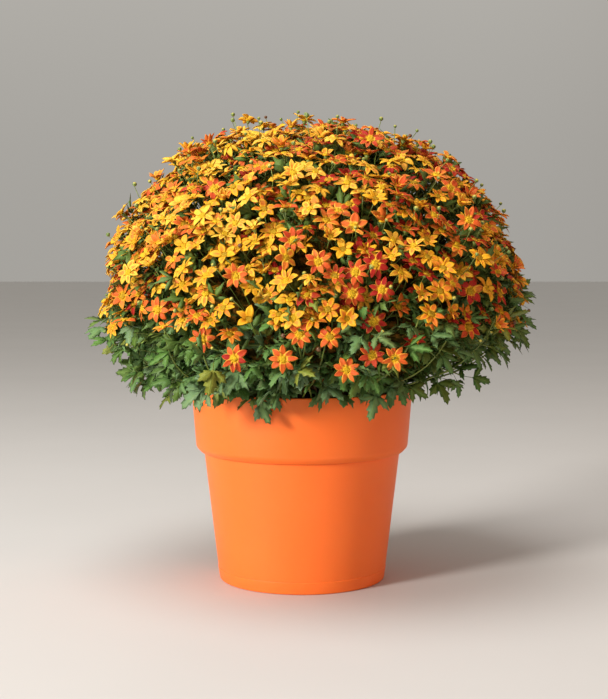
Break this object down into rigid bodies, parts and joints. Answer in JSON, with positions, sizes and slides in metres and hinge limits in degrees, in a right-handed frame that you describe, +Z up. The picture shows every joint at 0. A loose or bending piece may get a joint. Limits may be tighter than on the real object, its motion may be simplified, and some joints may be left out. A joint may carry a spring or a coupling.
{
  "type": "potted bidens",
  "caption": "Mounded bidens in full bloom, golden yellow and orange flowers over cut green leaves, in a round tapered orange plastic pot with a collar",
  "frame": {"origin": "centre of the pot's underside, on the surface it stands on, on the pot's axis", "axes": "+Z up along the pot's axis; -Y towards the side seen in the picture; +X to its right"},
  "size_m": [0.5769, 0.5703, 0.5865],
  "materials": {
    "pot": "satin",
    "soil": "matte",
    "petals": "matte",
    "leaves": "matte"
  },
  "bodies": {
    "root": {"pot": "pot", "soil": "soil", "bloom_spray_01": "petals", "bloom_spray_02": "petals", "bloom_spray_03": "petals", "bloom_spray_04": "petals", "bloom_spray_05": "petals", "bloom_spray_06": "petals", "bloom_spray_07": "petals", "bloom_spray_08": "petals", "bloom_spray_09": "petals", "bloom_spray_10": "petals", "bloom_spray_11": "petals", "bloom_spray_12": "petals", "bloom_spray_13": "petals", "bloom_spray_14": "petals", "bloom_spray_15": "petals", "bloom_spray_16": "petals", "bloom_spray_17": "petals", "bloom_spray_18": "petals", "bloom_spray_19": "petals", "bloom_spray_20": "petals", "bloom_spray_21": "petals", "bloom_spray_22": "petals", "bloom_spray_23": "petals", "bloom_spray_24": "petals", "bloom_spray_25": "petals", "bloom_spray_26": "petals", "leafy_skirt_01": "leaves", "leafy_skirt_02": "leaves", "leafy_skirt_03": "leaves", "leafy_skirt_04": "leaves", "leafy_skirt_05": "leaves", "leafy_skirt_06": "leaves", "leafy_skirt_07": "leaves", "leafy_skirt_08": "leaves", "leafy_skirt_09": "leaves", "leafy_skirt_10": "leaves", "leafy_skirt_11": "leaves", "leafy_skirt_12": "leaves"}
  },
  "joints": []
}
